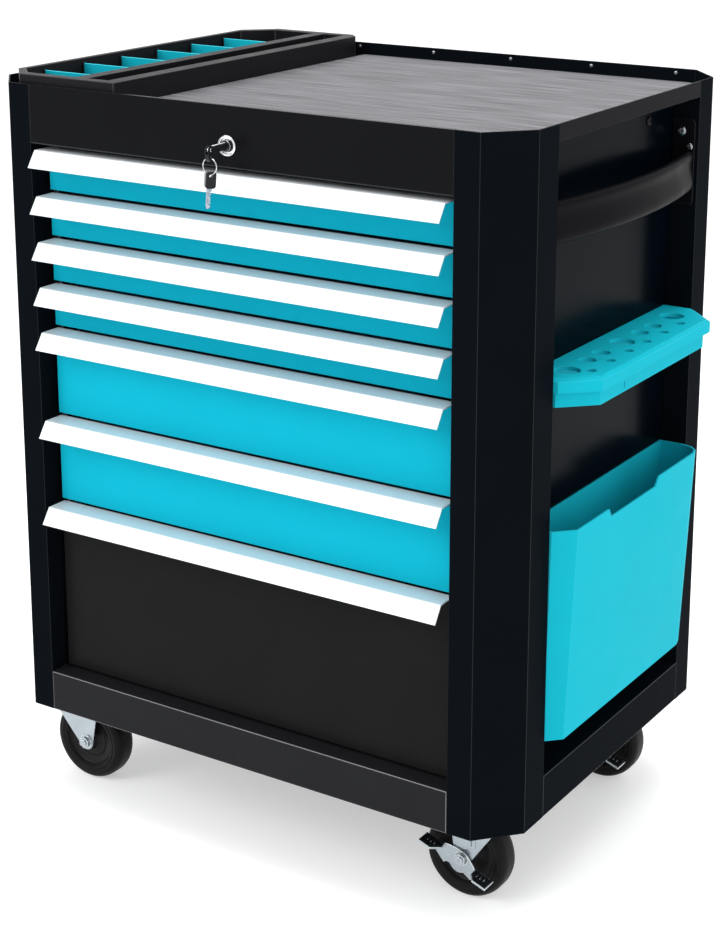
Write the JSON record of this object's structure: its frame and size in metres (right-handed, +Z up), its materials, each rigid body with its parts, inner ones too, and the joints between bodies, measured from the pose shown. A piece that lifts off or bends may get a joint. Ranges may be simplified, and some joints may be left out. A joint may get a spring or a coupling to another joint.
{
  "type": "rolling tool chest",
  "caption": "Rolling sheet-steel tool chest with drawers, lock, push handle, top organiser, side tool rack and bin, on fixed and braked swivel casters.",
  "frame": {"origin": "on the floor, under the middle of the chest's bounding box", "axes": "+Z up, +Y towards the back (the drawers open towards -Y), +X towards the side with the push handle"},
  "size_m": [0.719, 0.5382, 0.875],
  "materials": {
    "front_post_left": "glossy black paint",
    "front_post_right": "glossy black paint",
    "back_shell": "glossy black paint",
    "side_panel_left": "glossy black paint",
    "side_panel_right": "glossy black paint",
    "side_rail_left": "glossy black paint",
    "side_rail_right": "glossy black paint",
    "front_base_rail": "glossy black paint",
    "base_pan": "glossy black paint",
    "lock_fascia": "glossy black paint",
    "worktop_pan": "glossy black paint",
    "worktop_mat": "grey ribbed mat",
    "push_handle": "glossy black paint",
    "lock_barrel": "polished",
    "runner_frame_left": "zinc plated",
    "runner_frame_right": "zinc plated",
    "fixed_fork_front": "zinc plated",
    "fixed_fork_rear": "zinc plated",
    "fixed_axle_front": "zinc plated",
    "fixed_axle_rear": "zinc plated",
    "caster_plate_front": "zinc plated",
    "caster_plate_rear": "zinc plated",
    "lock_cylinder": "polished",
    "key_blade": "polished",
    "key_head": "dark plastic",
    "key_ring": "polished",
    "lock_bar": "zinc plated",
    "organiser_tray": "dark plastic",
    "organiser_divider_1": "fine-grained cyan plastic",
    "organiser_divider_2": "fine-grained cyan plastic",
    "organiser_divider_3": "fine-grained cyan plastic",
    "organiser_divider_4": "fine-grained cyan plastic",
    "organiser_divider_5": "fine-grained cyan plastic",
    "organiser_divider_6": "fine-grained cyan plastic",
    "tool_holder": "fine-grained cyan plastic",
    "side_bin": "fine-grained cyan plastic",
    "wheel_front_left": "black rubber",
    "wheel_rear_left": "black rubber",
    "wheel_front_right": "black rubber",
    "wheel_rear_right": "black rubber",
    "swivel_fork_front": "zinc plated",
    "swivel_axle_front": "zinc plated",
    "swivel_fork_rear": "zinc plated",
    "swivel_axle_rear": "zinc plated",
    "brake_lever_front": "zinc plated",
    "brake_lever_rear": "zinc plated",
    "drawer_1_box": "satin cyan paint",
    "drawer_1_handle": "satin silver-white",
    "drawer_2_box": "satin cyan paint",
    "drawer_2_handle": "satin silver-white",
    "drawer_3_box": "satin cyan paint",
    "drawer_3_handle": "satin silver-white",
    "drawer_4_box": "satin cyan paint",
    "drawer_4_handle": "satin silver-white",
    "drawer_5_box": "satin cyan paint",
    "drawer_5_handle": "satin silver-white",
    "drawer_6_box": "satin cyan paint",
    "drawer_6_handle": "satin silver-white",
    "drawer_7_box": "glossy black paint",
    "drawer_7_handle": "satin silver-white"
  },
  "bodies": {
    "cabinet": {"front_post_left": "front_post_left", "front_post_right": "front_post_right", "back_shell": "back_shell", "side_panel_left": "side_panel_left", "side_panel_right": "side_panel_right", "side_rail_left": "side_rail_left", "side_rail_right": "side_rail_right", "front_base_rail": "front_base_rail", "base_pan": "base_pan", "lock_fascia": "lock_fascia", "worktop_pan": "worktop_pan", "worktop_mat": "worktop_mat", "push_handle": "push_handle", "lock_barrel": "lock_barrel", "runner_frame_left": "runner_frame_left", "runner_frame_right": "runner_frame_right", "fixed_fork_front": "fixed_fork_front", "fixed_fork_rear": "fixed_fork_rear", "fixed_axle_front": "fixed_axle_front", "fixed_axle_rear": "fixed_axle_rear", "caster_plate_front": "caster_plate_front", "caster_plate_rear": "caster_plate_rear"},
    "lock": {"lock_cylinder": "lock_cylinder", "key_blade": "key_blade"},
    "key_fold": {"key_head": "key_head"},
    "ring": {"key_ring": "key_ring"},
    "bar": {"lock_bar": "lock_bar"},
    "organiser": {"organiser_tray": "organiser_tray", "organiser_divider_1": "organiser_divider_1", "organiser_divider_2": "organiser_divider_2", "organiser_divider_3": "organiser_divider_3", "organiser_divider_4": "organiser_divider_4", "organiser_divider_5": "organiser_divider_5", "organiser_divider_6": "organiser_divider_6"},
    "holder": {"tool_holder": "tool_holder"},
    "bin": {"side_bin": "side_bin"},
    "wheel_fl": {"wheel_front_left": "wheel_front_left"},
    "wheel_rl": {"wheel_rear_left": "wheel_rear_left"},
    "wheel_fr": {"wheel_front_right": "wheel_front_right"},
    "wheel_rr": {"wheel_rear_right": "wheel_rear_right"},
    "swivel_f": {"swivel_fork_front": "swivel_fork_front", "swivel_axle_front": "swivel_axle_front"},
    "swivel_r": {"swivel_fork_rear": "swivel_fork_rear", "swivel_axle_rear": "swivel_axle_rear"},
    "brake_f": {"brake_lever_front": "brake_lever_front"},
    "brake_r": {"brake_lever_rear": "brake_lever_rear"},
    "drawer_1": {"drawer_1_box": "drawer_1_box", "drawer_1_handle": "drawer_1_handle"},
    "drawer_2": {"drawer_2_box": "drawer_2_box", "drawer_2_handle": "drawer_2_handle"},
    "drawer_3": {"drawer_3_box": "drawer_3_box", "drawer_3_handle": "drawer_3_handle"},
    "drawer_4": {"drawer_4_box": "drawer_4_box", "drawer_4_handle": "drawer_4_handle"},
    "drawer_5": {"drawer_5_box": "drawer_5_box", "drawer_5_handle": "drawer_5_handle"},
    "drawer_6": {"drawer_6_box": "drawer_6_box", "drawer_6_handle": "drawer_6_handle"},
    "drawer_7": {"drawer_7_box": "drawer_7_box", "drawer_7_handle": "drawer_7_handle"}
  },
  "joints": [
    {"name": "drawer_1_slide", "type": "slide", "parent": "cabinet", "child": "drawer_1", "axis": [0, -1, 0], "range_m": [0, 0.34]},
    {"name": "drawer_2_slide", "type": "slide", "parent": "cabinet", "child": "drawer_2", "axis": [0, -1, 0], "range_m": [0, 0.34]},
    {"name": "drawer_3_slide", "type": "slide", "parent": "cabinet", "child": "drawer_3", "axis": [0, -1, 0], "range_m": [0, 0.34]},
    {"name": "drawer_4_slide", "type": "slide", "parent": "cabinet", "child": "drawer_4", "axis": [0, -1, 0], "range_m": [0, 0.34]},
    {"name": "drawer_5_slide", "type": "slide", "parent": "cabinet", "child": "drawer_5", "axis": [0, -1, 0], "range_m": [0, 0.34]},
    {"name": "drawer_6_slide", "type": "slide", "parent": "cabinet", "child": "drawer_6", "axis": [0, -1, 0], "range_m": [0, 0.34]},
    {"name": "drawer_7_slide", "type": "slide", "parent": "cabinet", "child": "drawer_7", "axis": [0, -1, 0], "range_m": [0, 0.34]},
    {"name": "wheel_fl_roll", "type": "hinge", "parent": "cabinet", "child": "wheel_fl", "pos_m": [-0.2915, -0.15885, 0.05], "axis": [0, 1, 0], "continuous": true},
    {"name": "wheel_rl_roll", "type": "hinge", "parent": "cabinet", "child": "wheel_rl", "pos_m": [-0.2915, 0.19415, 0.05], "axis": [0, 1, 0], "continuous": true},
    {"name": "wheel_fr_roll", "type": "hinge", "parent": "swivel_f", "child": "wheel_fr", "pos_m": [0.2325, -0.14585, 0.05], "axis": [0, 1, 0], "continuous": true},
    {"name": "wheel_rr_roll", "type": "hinge", "parent": "swivel_r", "child": "wheel_rr", "pos_m": [0.2325, 0.18115, 0.05], "axis": [0, 1, 0], "continuous": true},
    {"name": "swivel_f_turn", "type": "hinge", "parent": "cabinet", "child": "swivel_f", "pos_m": [0.2635, -0.14585, 0.117], "axis": [0, 0, 1], "continuous": true},
    {"name": "brake_f_rock", "type": "hinge", "parent": "swivel_f", "child": "brake_f", "pos_m": [0.2325, -0.14585, 0.05], "axis": [0, 1, 0], "range_deg": [-25, 0]},
    {"name": "swivel_r_turn", "type": "hinge", "parent": "cabinet", "child": "swivel_r", "pos_m": [0.2635, 0.18115, 0.117], "axis": [0, 0, 1], "continuous": true},
    {"name": "brake_r_rock", "type": "hinge", "parent": "swivel_r", "child": "brake_r", "pos_m": [0.2325, 0.18115, 0.05], "axis": [0, 1, 0], "range_deg": [-25, 0]},
    {"name": "lock_turn", "type": "hinge", "parent": "cabinet", "child": "lock", "pos_m": [-0.0195, -0.23385, 0.823], "axis": [0, 1, 0], "range_deg": [0, 90]},
    {"name": "lock_bar_lift", "type": "slide", "parent": "cabinet", "child": "bar", "axis": [0, 0, 1], "range_m": [0, 0.012]},
    {"name": "key_fold_hinge", "type": "hinge", "parent": "lock", "child": "key_fold", "pos_m": [-0.0195, -0.26435, 0.823], "axis": [-1, 0, 0], "range_deg": [0, 90]},
    {"name": "ring_swing", "type": "hinge", "parent": "key_fold", "child": "ring", "pos_m": [-0.0195, -0.26435, 0.8149], "axis": [-1, 0, 0], "range_deg": [-5, 75]},
    {"name": "organiser_lift", "type": "slide", "parent": "cabinet", "child": "organiser", "axis": [0, 0, 1], "range_m": [0, 0.04]},
    {"name": "holder_lift", "type": "slide", "parent": "cabinet", "child": "holder", "axis": [0, 0, 1], "range_m": [0, 0.1]},
    {"name": "bin_lift", "type": "slide", "parent": "cabinet", "child": "bin", "axis": [0, 0, 1], "range_m": [0, 0.1]}
  ],
  "couplings": [
    {"joint": "lock_turn", "follows": "lock_bar_lift", "rad_per_m": 130.89}
  ]
}
